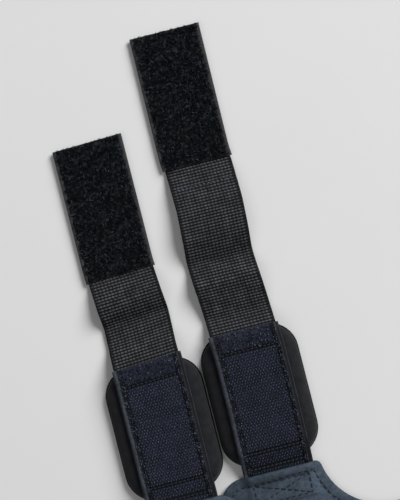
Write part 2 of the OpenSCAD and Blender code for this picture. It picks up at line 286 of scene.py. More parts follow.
class Shape:
    """Collects grids and tubes in one grip's frame, then makes one mesh of them."""

    def __init__(self, grip):
        self.grip = grip
        self.points, self.faces, self.slots, self.tones = [], [], [], []
        self.count = 0

    def add(self, points, quads, slot, tone):
        self.points.append(points.reshape(-1, 3))
        self.tones.append(np.broadcast_to(tone, points.shape[:-1]).ravel())
        self.faces.append(quads.reshape(-1, 4) + self.count)
        self.slots.append(np.full(self.faces[-1].shape[0], slot))
        self.count += self.points[-1].shape[0]

    def slab(self, top, bottom, slot=0, under=0, rim=0, tone=0.5):
        """A closed sheet between two grids of points, (rows, columns, 3); tone is its light and dark."""
        n, m = top.shape[:2]
        i = np.arange(n*m).reshape(n, m)
        j = i + n*m
        def quads(a):
            return np.stack([a[:-1, :-1], a[:-1, 1:], a[1:, 1:], a[1:, :-1]], axis=-1).reshape(-1, 4)
        loop = np.concatenate([i[0, :-1], i[:-1, -1], i[-1, :0:-1], i[:0:-1, 0]])
        around = np.stack([loop, loop + n*m, np.roll(loop, -1) + n*m, np.roll(loop, -1)], axis=-1)
        base = self.count
        both = np.stack([top, bottom])
        self.add(both, quads(i), slot, np.broadcast_to(tone, both.shape[:-1]))
        for more, s in ((quads(j)[:, ::-1], under), (around, rim)):
            self.faces.append(more + base)
            self.slots.append(np.full(len(more), s))

    def tubes(self, paths, radius, ref, slot=0, tone=0.5):
        """Square tubes with closed ends along paths (tubes, rings, 3); radius is one for each ring."""
        k, r = paths.shape[:2]
        t = np.gradient(paths, axis=1)
        t /= np.linalg.norm(t, axis=-1, keepdims=True) + 1e-12
        ref = np.broadcast_to(ref, (k, 3))[:, None, :]
        a = np.cross(t, ref)
        a /= np.linalg.norm(a, axis=-1, keepdims=True) + 1e-12
        b = np.cross(t, a)
        radius = np.broadcast_to(radius, (k, r))[..., None, None]
        turn = np.array([0, 1, 2, 3])*np.pi/2 + np.pi/4
        ring = (paths[:, :, None, :] + radius*(a[:, :, None, :]*np.cos(turn)[:, None]
                                                + b[:, :, None, :]*np.sin(turn)[:, None]))
        i = np.arange(k*r*4).reshape(k, r, 4)
        nxt = np.roll(i, -1, axis=2)
        sides = np.stack([i[:, :-1], nxt[:, :-1], nxt[:, 1:], i[:, 1:]], axis=-1).reshape(-1, 4)
        caps = np.concatenate([i[:, 0, ::-1], i[:, -1, :]])
        tone = np.broadcast_to(tone, (k, r))[..., None]
        self.add(ring, np.concatenate([sides, caps]), slot, np.broadcast_to(tone, ring.shape[:-1]))

    def make(self, name, slots, angle=50):
        mesh = bpy.data.meshes.new(self.grip.node(name))
        points = self.grip.world(np.concatenate(self.points))
        faces = np.concatenate(self.faces)
        if self.grip.sign < 0:
            faces = faces[:, ::-1]
        mesh.from_pydata(points.tolist(), [], faces.tolist())
        mesh.polygons.foreach_set("material_index", np.concatenate(self.slots).astype(np.int32))
        mesh.attributes.new("tone", "FLOAT", "POINT").data.foreach_set("value", np.concatenate(self.tones))
        for m in slots:
            mesh.materials.append(m)
        mesh.shade_smooth()
        mesh.set_sharp_from_angle(angle=math.radians(angle))
        obj = bpy.data.objects.new(self.grip.node(name), mesh)
        bpy.context.scene.collection.objects.link(obj)
        return obj


# ---------------------------------------------------------------- materials
class Nodes:
    """A material's node tree with short calls. Coordinates are in metres, on the object."""

    def __init__(self, name, roughness, sheen=0.0, specular=0.5, tint=None):
        self.material = bpy.data.materials.new(name)
        self.material.use_nodes = True
        self.tree = self.material.node_tree
        self.bsdf = self.tree.nodes["Principled BSDF"]
        self.bsdf.inputs["Roughness"].default_value = roughness
        self.bsdf.inputs["Sheen Weight"].default_value = sheen
        self.bsdf.inputs["Sheen Roughness"].default_value = 0.5
        self.bsdf.inputs["Specular IOR Level"].default_value = specular
        if tint:
            self.bsdf.inputs["Sheen Tint"].default_value = (*tint, 1)
        self.coords = self.tree.nodes.new("ShaderNodeTexCoord").outputs["Object"]
        self.height = None

    def link(self, a, b):
        self.tree.links.new(a, b)

    def node(self, kind, **values):
        n = self.tree.nodes.new(kind)
        for key, value in values.items():
            if key in n.inputs:
                n.inputs[key].default_value = value
            else:
                setattr(n, key, value)
        return n

    def mapped(self, scale=(1, 1, 1), turn=0.0):
        n = self.node("ShaderNodeMapping")
        n.inputs["Scale"].default_value = scale
        n.inputs["Rotation"].default_value = (0, 0, turn)
        self.link(self.coords, n.inputs["Vector"])
        return n.outputs["Vector"]

    def noise(self, size_mm, detail=3.0, rough=0.6, stretch=(1, 1, 1)):
        n = self.node("ShaderNodeTexNoise", Detail=detail, Roughness=rough, Scale=1/(size_mm*MM))
        self.link(self.mapped(stretch), n.inputs["Vector"])
        return n.outputs["Fac"]

    def wave(self, size_mm, turn, distort, direction="X"):
        n = self.node("ShaderNodeTexWave", Scale=0.314/(size_mm*MM), Distortion=distort)
        n.bands_direction = direction
        n.inputs["Detail"].default_value = 1.0
        self.link(self.mapped((1, 1, 1), turn), n.inputs["Vector"])
        return n.outputs["Fac"]

    def math(self, operation, a, b):
        n = self.node("ShaderNodeMath", operation=operation)
        for socket, value in zip(n.inputs, (a, b)):
            if isinstance(value, (int, float)):
                socket.default_value = value
            else:
                self.link(value, socket)
        return n.outputs[0]

    def ramp(self, fac, stops):
        n = self.node("ShaderNodeValToRGB")
        e = n.color_ramp.elements
        while len(e) < len(stops):
            e.new(0.5)
        for element, (at, colour) in zip(e, stops):
            element.position = at
            element.color = (*colour, 1)
        self.link(fac, n.inputs["Fac"])
        return n.outputs["Color"]

    def tone(self):
        n = self.node("ShaderNodeAttribute")
        n.attribute_name = "tone"
        return n.outputs["Fac"]

    def toned(self, low, middle, high):
        """A grey factor that follows the mesh's tone."""
        return self.ramp(self.tone(), [(0.0, (low,)*3), (0.5, (middle,)*3), (1.0, (high,)*3)])

    def times(self, a, b):
        n = self.node("ShaderNodeMix")
        n.data_type, n.blend_type = "RGBA", "MULTIPLY"
        n.inputs[0].default_value = 1.0
        self.link(a, n.inputs[6])
        self.link(b, n.inputs[7])
        return n.outputs[2]

    def colour(self, socket):
        self.link(socket, self.bsdf.inputs["Base Color"])

    def rough(self, fac, lo, hi):
        n = self.node("ShaderNodeMapRange")
        n.inputs["To Min"].default_value = lo
        n.inputs["To Max"].default_value = hi
        self.link(fac, n.inputs["Value"])
        self.link(n.outputs["Result"], self.bsdf.inputs["Roughness"])

    def bump(self, fac, depth_mm, strength=1.0):
        n = self.node("ShaderNodeBump", Strength=strength, Distance=depth_mm*MM)
        self.link(fac, n.inputs["Height"])
        if self.height is not None:
            self.link(self.height, n.inputs["Normal"])
        self.height = n.outputs["Normal"]
        self.link(self.height, self.bsdf.inputs["Normal"])


def shades(colour, low, high, span=0.16):
    return [(0.5 - span, tuple(c*low for c in colour)), (0.5, colour),
            (0.5 + span, tuple(c*high for c in colour))]


def suede(name, colour, sheen):
    m = Nodes(name, 0.9, sheen=sheen, specular=0.12, tint=(0.7, 0.85, 1.0))
    nap = m.noise(1.4, 6, 0.75)
    patch = m.noise(7, 4, 0.6)
    fac = m.math("ADD", m.math("MULTIPLY", nap, 0.68), m.math("MULTIPLY", patch, 0.32))
    m.colour(m.times(m.ramp(fac, shades(colour, 0.6, 1.45, 0.13)), m.toned(0.25, 1.0, 1.5)))
    m.rough(nap, 0.82, 1.0)
    m.bump(m.noise(0.5, 4, 0.7), 0.1)
    m.bump(m.noise(2.4, 4, 0.6), 0.16)
    return m.material


def woven(name, low, middle, high, gloss=0.45, sheen=0.1, specular=0.35):
    """Woven nylon: tone runs from dark to light; on the webbing it runs from the gaps between floats to their
    crowns, painted shade in the gaps and painted light on the crowns.
    """
    m = Nodes(name, gloss, sheen=sheen, specular=specular)
    fibre = m.noise(0.3, 3, 0.7, stretch=(1, 0.3, 1))
    body = m.ramp(m.tone(), [(0.05, low), (0.55, middle), (1.0, high)])
    m.colour(m.times(m.times(body, m.ramp(fibre, shades((1, 1, 1), 0.6, 1.5))),
                     m.ramp(m.noise(6, 3), shades((1, 1, 1), 0.75, 1.25))))
    m.rough(fibre, gloss - 0.1, gloss + 0.2)
    m.bump(fibre, 0.05)
    return m.material


def knit(name, colour, turn, pitch_mm, sheen=0.1):
    m = Nodes(name, 0.85, sheen=sheen, specular=0.15)
    ribs = m.wave(pitch_mm, turn, 0.4)
    cross = m.wave(pitch_mm*0.7, turn + 1.2, 0.4, "Y")
    fac = m.math("ADD", m.math("MULTIPLY", ribs, 0.6), m.math("MULTIPLY", cross, 0.4))
    body = m.ramp(fac, [(0.1, tuple(c*0.55 for c in colour)), (0.9, tuple(c*1.6 for c in colour))])
    m.colour(m.times(body, m.ramp(m.noise(4, 4, 0.7), shades((1, 1, 1), 0.7, 1.3))))
    m.bump(fac, 0.12)
    m.bump(m.noise(0.4, 2), 0.06)
    return m.material


def fibre(name, low, middle, high, gloss=0.45, size=1.2, sheen=0.05, specular=0.3):
    """Single threads, hooks or loops: tone gives each its own shade; along the hooks it also carries painted
    glints, and in the loop pile painted shade low down.
    """
    m = Nodes(name, gloss, sheen=sheen, specular=specular)
    body = m.ramp(m.tone(), [(0.0, low), (0.5, middle), (1.0, high)])
    m.colour(m.times(body, m.ramp(m.noise(size, 4, 0.8), shades((1, 1, 1), 0.6, 1.5))))
    m.bump(m.noise(0.15, 2), 0.03)
    return m.material


def painted_wire(name):
    m = Nodes(name, 0.35, specular=0.5)
    wear = m.noise(1.6, 5, 0.7)
    m.colour(m.ramp(wear, [(0.0, (0.010, 0.010, 0.011)), (0.66, (0.016, 0.016, 0.017)),
                           (0.74, (0.07, 0.07, 0.072))]))
    m.rough(wear, 0.25, 0.5)
    m.bump(m.noise(0.5, 3), 0.02)
    return m.material


def sponge(name):
    m = Nodes(name, 0.95, specular=0.2)
    m.colour(m.ramp(m.noise(0.8, 4, 0.8), shades((0.04, 0.04, 0.042), 0.6, 1.5)))
    m.bump(m.noise(0.6, 3), 0.2)
    return m.material


SUEDE = suede("leather_suede", (0.050, 0.068, 0.092), 0.1)
CUT_EDGE = suede("leather_cut_edge", (0.014, 0.018, 0.023), 0.05)
LINING = suede("lining_suede", (0.014, 0.015, 0.018), 0.05)
WEBBING = woven("webbing_nylon", (0.001, 0.0011, 0.0018), (0.0084, 0.0089, 0.0114), (0.087, 0.089, 0.096),
                0.62, 0.0, 0.15)
TAPE = woven("hook_tape_ground", (0.0036, 0.0046, 0.009), (0.0145, 0.017, 0.029), (0.046, 0.053, 0.086),
             specular=0.08)
# Smooth side strips of the hook tape; the lighter end of this ramp shows the painted side light and the
# painted highlights along the rolled edge and the outer edge line.
SELVEDGE = woven("tape_selvedge", (0.003, 0.004, 0.006), (0.013, 0.016, 0.022), (0.05, 0.060, 0.080), 0.5,
                 specular=0.2)
LOOP_EDGE = woven("loop_tape_edge", (0.008, 0.0085, 0.0095), (0.030, 0.031, 0.034),
                  (0.06, 0.062, 0.068), 0.5, specular=0.15)
HOOKS = fibre("hook_fibre", (0.0035, 0.0045, 0.009), (0.0135, 0.017, 0.032), (0.14, 0.16, 0.22), 0.35,
              specular=0.2)
LOOP_GROUND = woven("loop_tape_ground", (0.002, 0.003, 0.004), (0.004, 0.005, 0.007), (0.01, 0.013, 0.018))
PILE = fibre("loop_fibre", (0.0008, 0.0011, 0.0018), (0.0080, 0.0112, 0.0165), (0.060, 0.074, 0.096),
             0.5, 2.2, 0.0, 0.06)
KNIT = knit("pad_knit", (0.0115, 0.012, 0.0145), 0.6, 0.75)
BACKING = knit("pad_backing_knit", (0.010, 0.010, 0.0115), -0.5, 0.9, 0.05)
THREAD = fibre("sewing_thread", (0.004, 0.005, 0.008), (0.008, 0.010, 0.015), (0.06, 0.07, 0.10), 0.5, 0.5)
FOAM = sponge("pad_foam")
METAL = painted_wire("ring_paint")


# ---------------------------------------------------------------- pieces
def weave(x, y):
    """Height of the weave, 0 to 1: rows of short floats, each row half a float on from the last."""
    row = np.floor(y/RIB + 0.5)
    along_row = np.abs(np.cos(np.pi*(x/COLUMN + 0.14*(row % 2))))**0.5
    return np.abs(np.cos(np.pi*y/RIB))*(0.4 + 0.6*along_row)


def spaced(*parts):
    """Sample places from parts, each (from, to, step)."""
    out = [np.linspace(a, b, max(2, int(round((b - a)/s)) + 1)) for a, b, s in parts]
    return np.unique(np.round(np.concatenate(out), 4))


def ribbon(shape, g, ys, xs, low, high, relief, slot=0, under=0, rim=0, tone=None, both=False):
    """A strip on the strap's line; relief(x, y) adds to its upper face, or to both."""
    y, x = np.meshgrid(ys, xs, indexing="ij")
    side = np.clip((np.abs(x) - np.abs(xs).max() + 0.5)/0.5, 0, 1)
    lift = relief(x, y)
    top = g.on_strap(x, y, high + lift - 0.25*side**2)
    shade = 0.5 if tone is None else tone(x, y)
    shape.slab(top, g.on_strap(x, y, low - both*lift + 0.15*side**2), slot, under, rim, shade)


def web_relief(seam_y):
    def relief(x, y):
        return WEAVE_DEPTH*(weave(x, y) - 0.75) - 0.06*np.exp(-((y - seam_y)/0.7)**2)
    return relief


# Painted shade and light: tone follows the weave's height, dark in the gaps between floats and light on their
# crowns; darker along the webbing's edges, with random patches.
def web_tone(x, y):
    edge = ease((np.abs(x) - 13.6)/0.6)
    return weave(x, y)*(1 - 0.35*edge) + 0.12*ripple(x, y, 61, 4)


def strap(g):
    """The webbing, in two pieces that meet out of sight under the hook tape."""
    half = g.web_w/2
    t = g.web_t/2
    split = (g.pad_y0 + g.pad_y1)/2
    xs = np.linspace(-half, half, 113)
    inner = Shape(g)
    ribbon(inner, g, spaced((-g.anchor_l, split, 1.0)), np.linspace(-half, half, 25), -t, t,
           lambda x, y: 0*x)
    inner = inner.make("strap_inner", [WEBBING])
    g.node("band")
    g.node("cuff")
    g.point(0, -1.5, g.anchor_z)
    g.point(0, 5, g.anchor_z)
    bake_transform(inner)
    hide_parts(g.node("strap_anchor"))
    outer = Shape(g)
    ys = spaced((split, g.hook_l - 3, 1.5), (g.hook_l - 3, g.loop_y0 + 2, 0.22),
                (g.loop_y0 + 2, g.loop_y1, 1.2))
    ribbon(outer, g, ys, xs, -t, t, web_relief(g.loop_y0 - TACK_ROW), tone=web_tone, both=True)
    outer = outer.make("strap_outer", [WEBBING])
    fold = g.hook_l + g.free_l/2
    g.node("cuff")
    g.node("tail")
    g.point(0, fold - 5, 0)
    g.point(0, fold + 5, 0)
    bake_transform(outer)
    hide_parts(g.node("cuff_webbing"), g.node("tail_webbing"))


def tape_rows(g):
    """Where the hook tape's cross seams run."""
    return [3.3, 10.4, g.hook_l - 8.7]


def tape_zones(g):
    """The hook field's two sides."""
    half = g.tape_w/2
    return sorted([g.sign*(-half + SMOOTH_IN), g.sign*(half - SMOOTH_OUT)])


def hook_tape(g):
    """Woven ground with smooth edges, and a field of small hooks."""
    half = g.tape_w/2
    ground = g.web_t/2 + 0.45
    left, right = tape_zones(g)
    rows = tape_rows(g)

    def edge(x):
        return np.maximum(left - x, x - right)

    def rolled(x, y, width):
        middle = half - 1.3 + 0.45*ripple(0*y, y, 23, 12)
        return np.exp(-((g.sign*x + middle)/(width + 0.2*ripple(0*y, y, 24, 9)))**2)

    def relief(x, y):
        h = 0.12*np.cos(2*np.pi*x/1.3)*np.cos(2*np.pi*y/1.3)*(edge(x) < 0)
        h = h + 0.35*rolled(x, y, 1.0) - 0.25*ease((edge(x) - 1.4)/0.6)
        for row in rows:
            h = h - 0.4*np.exp(-((y - row)/0.7)**2)*(edge(x) < 1)
        return h + 0.08*ripple(x, y, 21, 5)

    def tone(x, y):
        smooth = ease((edge(x) - 1.3)/0.5)
        # Painted highlight: a thin light line along the tape's outer edge, on the side away from the roll.
        line = np.exp(-((g.sign*x - half + 0.3)/0.22)**2)
        twill = (0.5 + 0.45*np.cos(2*np.pi*(x/0.65 + y/1.3)))*(1 - 0.7*ease((edge(x) + 1.0)/0.8))
        # The smooth strips' tone, lighter on the rolled side: painted side light, on random patches.
        plain_with_painted_side_light = 0.08 + 0.1*ripple(x, y, 22, 3) + 0.3*(g.sign*x < 0)
        # Painted shade: the ground darker along the cross-seam grooves.
        for row in rows:
            twill = twill*(1 - 0.8*np.exp(-((y - row)/0.8)**2))
        # On the smooth strips a painted highlight along the rolled edge and the painted highlight line are
        # added.
        return twill*(1 - smooth) + smooth*(plain_with_painted_side_light + 0.55*rolled(x, y, 1.1) + 0.6*line)
    s = Shape(g)
    ribbon(s, g, spaced((-3.4, g.hook_l, 0.32)), spaced((-half, half, 0.26)), g.web_t/2 + 0.02, ground,
           relief, 0, 1, 1, tone)
    add_hooks(s, g, edge, ground)
    tape = s.make("hook_tape", [TAPE, SELVEDGE, HOOKS])
    paint_selvedges(tape, g, left - 1.3, right + 1.3)
    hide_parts(g.node("hook_tape"))
    bend_cuff(tape, g)


def add_hooks(s, g, edge, ground):
    """The field of small hooks; edge(x) is how far x lies outside it."""
    left, right = tape_zones(g)
    rows = tape_rows(g)
    r = np.random.default_rng(5 + g.sign)
    ys, xs = np.meshgrid(np.arange(-2.4, g.hook_l - 0.5, HOOK_PITCH),
                         np.arange(left - 1, right + 1, HOOK_PITCH), indexing="ij")
    xs = xs + (np.arange(ys.shape[0]) % 2)[:, None]*HOOK_PITCH/2
    border = edge(xs) > -0.4
    keep = (edge(xs) < 1.3) & (ys > 0.2)
    for row in rows:
        keep &= np.abs(ys - row) > 0.75
    border = border[keep] | (ys[keep] > rows[2])
    x, y = xs[keep], ys[keep]
    column = np.floor((x - left)/HOOK_PITCH*2 + 0.5)
    x = x + r.normal(0, 0.05, x.size)*(1 + 5*border)
    y = y + r.normal(0, 0.05, x.size)*(1 + 5*border)
    lean = np.where(column % 4 < 2, 1.0, -1.0)*r.uniform(0.8, 1.1, x.size)
    tall = r.uniform(0.85, 1.08, x.size)*(1 - 0.15*border)
    side = r.normal(0, 0.12, x.size)*(1 + 4*border)
    curl = np.array([(0.0, -0.1), (-0.02, 0.35), (0.08, 0.66), (0.32, 0.82), (0.56, 0.7), (0.62, 0.46)])
    shade = np.clip(r.normal(0.5, 0.05, x.size) + border*r.normal(-0.22, 0.24, x.size), 0.02, 1)
    glint = np.array([0.2, 0.5, 0.9, 1.7, 1.3, 0.7])
    paths = []
    for k, (fwd, up) in enumerate(curl):
        paths.append(g.on_strap(x + side*k/5, y + lean*(fwd - 0.25), ground + up*tall))
    s.tubes(np.stack(paths, axis=1), np.array([0.17, 0.17, 0.17, 0.16, 0.13, 0.08]), (1, 0.05, 0), 2,
            np.clip(shade[:, None]*glint, 0, 1))


def paint_selvedges(obj, g, left, right):
    """Gives the smooth strips at a tape's sides the second material."""
    mesh = obj.data
    n = len(mesh.polygons)
    centre = np.empty(n*3)
    slot = np.empty(n, dtype=np.int32)
    mesh.polygons.foreach_get("center", centre)
    mesh.polygons.foreach_get("material_index", slot)
    c = centre.reshape(-1, 3)
    x = g.sign*(c[:, 0]/MM - g.ox) - along(c[:, 1]/MM - g.oy, DRIFTS[g.side], 2)
    slot[((x < left) | (x > right)) & (slot == 0)] = 1
    mesh.polygons.foreach_set("material_index", slot)


def bend_cuff(piece, g):
    g.node("band")
    g.node("cuff")
    g.point(0, -1.5, g.anchor_z)
    g.point(0, 5, g.anchor_z)
    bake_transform(piece)


def run_stitches(shape, path, surface, pitch=2.9, length=2.25, radius=0.24, tone=0.5, change=0.3):
    """Stitches of thread along a path; surface(x, y) gives points on what they are sewn to."""
    p = resample(path, 0.2)
    step = np.linalg.norm(np.diff(p, axis=0), axis=1)
    s = np.concatenate([[0], np.cumsum(step)])
    n = max(1, int(s[-1]/pitch))
    start = (s[-1] - n*pitch)/2 + (pitch - length)/2
    places = start + pitch*np.arange(n)[:, None] + np.linspace(0, length, 7)[None, :]
    x = np.interp(places, s, p[:, 0])
    y = np.interp(places, s, p[:, 1])
    up = np.array([-THREAD_SINK, 0.02, 0.14, 0.17, 0.14, 0.02, -THREAD_SINK])
    shade = np.clip(tone*(1 + change*np.sin(7.3*np.arange(n))), 0, 1)[:, None]
    shape.tubes(surface(x, y, up), radius*np.array([0.7, 0.95, 1, 1, 1, 0.95, 0.7]), (0, 0, 1), 0, shade)


def hook_seams(g):
    s = Shape(g)
    top = g.web_t/2 + 0.55

    def surface(x, y, up):
        return g.on_strap(x, y, top + 0.15 + up)
    left, right = tape_zones(g)
    r = np.random.default_rng(50 + g.sign)
    for edge in (left - 1.0, left - 0.3, right + 0.3, right + 1.1):
        y = np.arange(0.8, g.hook_l - 0.6, 1.15)
        swing = np.where(np.arange(y.size) % 2, 0.42, -0.42)*r.uniform(0.4, 1.3, y.size)
        zig = np.stack([edge + swing, y + r.normal(0, 0.15, y.size)], axis=1)
        run_stitches(s, zig, surface, 1.25, 1.05, 0.25, tone=0.42, change=0.9)
    for row in tape_rows(g):
        run_stitches(s, [(left - 1, row), (right + 1, row)], surface, 1.9, 1.6, 0.36, tone=0.1)
    seams = s.make("hook_seams", [THREAD])
    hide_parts(g.node("hook_stitching"))
    bend_cuff(seams, g)


def loop_tape(g):
    """Woven ground with smooth edges under a tangle of fine loops."""
    half = g.tape_w/2
    ground = g.web_t/2 + 0.6
    y0, y1 = g.loop_y0, g.loop_y1
    left, right = sorted([g.sign*(-half + 1.9), g.sign*(half - 2.1)])

    def edge(x):
        return np.maximum(left - x, x - right)

    def relief(x, y):
        ends = np.minimum(y - y0, y1 - y)
        return 0.25*ease(edge(x)/0.8) - 0.2*np.clip(1 - ends/0.8, 0, 1) + 0.05*ripple(x, y, 31, 6)

    def tone(x, y):
        smooth = ease(edge(x)/0.5)
        wale = 0.14*np.cos(2*np.pi*(x/0.9 + y/0.9))
        return smooth*(0.55 + wale) + (1 - smooth)*0.3
    s = Shape(g)
    ribbon(s, g, spaced((y0, y1, 0.35)), spaced((-half, half, 0.35)), g.web_t/2 + 0.02, ground, relief,
           0, 1, 1, tone)
    tape = s.make("loop_tape", [LOOP_GROUND, LOOP_EDGE])
    paint_selvedges(tape, g, left, right)
    pile = loop_pile(g, ground, left, right)
    for piece in (tape, pile):
        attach(piece, g.node("tail"))
    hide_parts(g.node("loop_tape"))


def loop_pile(g, ground, left, right):
    """A tangle of fine loops, each leaning its own way."""
    pile = Shape(g)
    r = np.random.default_rng(40 + g.sign)
    half = g.tape_w/2
    y0, y1 = g.loop_y0, g.loop_y1
    x = r.uniform(left - 0.5, right + 0.5, LOOPS)
    y = r.uniform(y0 + 0.25, y1 - 0.2, LOOPS)
    size = r.uniform(0.36, 0.78, LOOPS)*(0.9 + 0.25*ripple(x, y, 33, 5))
    turn = r.uniform(0, 2*np.pi, LOOPS)
    tilt = r.uniform(-1.3, 1.3, LOOPS)
    angle = np.linspace(-0.3*np.pi, 1.3*np.pi, 6)
    flat = size[:, None]*np.cos(angle)
    rise = size[:, None]*(np.sin(angle) + 0.8)
    across = flat*np.cos(turn)[:, None] - rise*np.sin(tilt)[:, None]*np.sin(turn)[:, None]
    ahead = flat*np.sin(turn)[:, None] + rise*np.sin(tilt)[:, None]*np.cos(turn)[:, None]
    stand = r.uniform(0, 0.25, LOOPS)[:, None]
    up = np.clip(stand + rise*np.abs(np.cos(tilt))[:, None], -0.1, g.loop_t - 0.4)
    px = np.clip(x[:, None] + across, -half + 0.15, half - 0.15)
    py = np.clip(y[:, None] + ahead, y0 - 0.25, y1 + 0.2)
    ref = np.stack([-np.sin(turn)*np.cos(tilt), np.cos(turn)*np.cos(tilt), np.sin(tilt)], axis=1)
    clump = 1 + 0.7*ripple(x, y, 35, 2.4)
    # Random tone per loop and per clump, times painted shade: loops lower in the pile darker, higher ones
    # lighter.
    shade = np.clip(r.gamma(2.4, 0.15, LOOPS)*clump, 0.04, 1)[:, None]*np.clip(0.45 + 0.75*up, 0.3, 1.7)
    pile.tubes(g.on_strap(px, py, ground + up), np.array([LOOP_WIRE]*6), ref, 0, np.clip(shade, 0, 1))
    return pile.make("loop_pile", [PILE], 180)


def tail_seams(g):
    """Edge seams of the loop tape and the row of tacks below it."""
    s = Shape(g)
    edge = g.tape_w/2 - 2.0

    def on_tape(x, y, up):
        return g.on_strap(x, y, g.web_t/2 + 0.85 + up)

    def on_web(x, y, up):
        return g.on_strap(x, y, g.web_t/2 + 0.1 + up)
    for side in (-1, 1):
        run_stitches(s, [(side*edge, g.loop_y0 + 1), (side*edge, g.loop_y1 - 1)], on_tape, 2.2, 1.7, 0.17)
    row = g.loop_y0 - TACK_ROW
    run_stitches(s, [(-g.web_w/2 + 2, row), (g.web_w/2 - 2, row)], on_web, 2.0, 1.1, 0.26, tone=1.0,
                 change=0.1)
    seams = s.make("tail_seams", [THREAD])
    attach(seams, g.node("tail"))
    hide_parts(g.node("loop_stitching"))


def columns(g, d):
    """Grid over band and palm: columns follow the outline's upper half."""
    top = resample(g.half_outline(d), 0.9)
    s = np.linspace(-1, 1, 131)
    t = s*(1.25 - 0.25*s*s)
    x = np.repeat(top[:, 0][:, None], t.size, axis=1)
    y = g.mid + t[None, :]*(top[:, 1] - g.mid)[:, None]
    return x[:, ::-1], y[:, ::-1]


def cut_holes(obj, g):
    """Finger holes, cut where the CAD palm has them."""
    holes = [m for m in frame["record"]["mounts"] if m["name"].startswith(g.side) and m["kind"] == "bore"]
    for m in holes:
        bpy.ops.mesh.primitive_cylinder_add(vertices=96, radius=m["dims"]["r_mm"]*MM, depth=0.03,
                                            location=(m["pos_m"][0], m["pos_m"][1], 0))
        tool = bpy.context.object
        cut = obj.modifiers.new("hole", "BOOLEAN")
        cut.operation, cut.solver, cut.object = "DIFFERENCE", "EXACT", tool
        graph = bpy.context.evaluated_depsgraph_get()
        mesh = bpy.data.meshes.new_from_object(obj.evaluated_get(graph))
        obj.modifiers.clear()
        old, obj.data = obj.data, mesh
        bpy.data.meshes.remove(old)
        bpy.data.objects.remove(tool)


def bend_palm(piece, g):
    g.node("band")
    g.node("palm")
    g.point(g.flex_x - 9, 0, 0)
    g.point(g.flex_x + 9, 0, 0)
    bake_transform(piece)


def leather(g):
    s = Shape(g)
    x, y = columns(g, 0.0)
    under = g.base(x) + g.lining_t + 0.04 + g.cover_rise(x, y) + 0.1*ripple(x, y, 11, 19)
    edge = distance_to(g.outline(), x, y)
    # Tone: darker within 0.7 mm of the cut edge, painted shade in the edge seam's dent, random patches, and
    # darker at the heel, lighter towards the fingers.
    shade = 0.5 - 0.2*np.clip(1 - edge/0.7, 0, 1) - 0.05*np.exp(-((edge - STITCH_INSET)/SEAM_WIDTH)**2)
    # Painted shade in the dents of the box seams.
    for seam in g.box_seams():
        shade = shade - 0.05*np.exp(-(distance_to(seam, x, y)/SEAM_WIDTH)**2)
    shade = shade + 0.09*ripple(x, y, 14, 9) + 0.13*np.clip(g.sign*x/18, -1, 1)
    s.slab(np.stack([x, y, g.leather_top(x, y)], axis=-1), np.stack([x, y, under], axis=-1), 0, 1, 1, shade)
    piece = s.make("leather", [SUEDE, CUT_EDGE])
    cut_holes(piece, g)
    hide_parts(g.node("band_leather"), g.node("palm_leather"))
    bend_palm(piece, g)


def lining(g):
    s = Shape(g)
    x, y = columns(g, 0.35)
    low = g.base(x) + 0.01 + 0*y
    s.slab(np.stack([x, y, low + g.lining_t - 0.03], axis=-1), np.stack([x, y, low], axis=-1))
    piece = s.make("lining", [LINING])
    cut_holes(piece, g)
    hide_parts(g.node("band_lining"), g.node("palm_lining"))
    bend_palm(piece, g)


def leather_seams(g):
    s = Shape(g)

    def surface(x, y, up):
        return np.stack([x, y, g.leather_top(x, y) + 0.12 + up], axis=-1)
    run_stitches(s, g.outline(STITCH_INSET), surface)
    for seam in g.box_seams():
        run_stitches(s, seam, surface)
    piece = s.make("leather_seams", [THREAD])
    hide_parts(g.node("band_stitching"), g.node("palm_stitching"))
    bend_palm(piece, g)


def pad_outline(g, d):
    """The cuff's outline, drawn in by d."""
    r = PAD_CORNER - d
    n = 12
    x, y0, y1 = g.pad_x - d, g.pad_y0 + d, g.pad_y1 - d
    half = math.pi/2
    return np.array(arc(x - r, y1 - r, r, 0, half, n) + arc(-x + r, y1 - r, r, half, 2*half, n)
                    + arc(-x + r, y0 + r, r, 2*half, 3*half, n) + arc(x - r, y0 + r, r, 3*half, 4*half, n))


def pad(g):
    """The padded cover: a low pillow, swollen by a short cloth simulation where the strap leaves it free."""
    s = Shape(g)
    rings = []
    middle = np.array([0, (g.pad_y0 + g.pad_y1)/2])
    for k in np.linspace(0, 1, 15):
        d = 8*(1 - k)
        rings.append(pad_outline(g, max(0.3, d)))
    loop = np.stack(rings)
    fill = np.linspace(0, 1, 12)[:-1]
    core = middle + (loop[0] - middle)*fill[:, None, None]
    flat = np.concatenate([core, loop])
    top_z = g.pad_t - 0.25
    rim = np.concatenate([np.zeros(fill.size), np.linspace(0, 1, 15)])
    z = g.backing_t + 0.4 + (top_z - g.backing_t - 0.4)*np.sqrt(np.clip(1 - rim**2.6, 0, 1))
    z = np.broadcast_to(z[:, None], flat.shape[:2])
    top = np.concatenate([flat, z[..., None]], axis=-1)
    bottom = np.concatenate([flat, np.full(flat.shape[:2] + (1,), g.backing_t)], axis=-1)
    top = np.concatenate([top, top[:, :1]], axis=1)
    bottom = np.concatenate([bottom, bottom[:, :1]], axis=1)
    s.slab(top[:, ::-1], bottom[:, ::-1])
    cover = s.make("pad_cover", [KNIT])
    swell(cover, g)
    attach(cover, g.node("cuff"))
    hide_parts(g.node("pad_cover"))


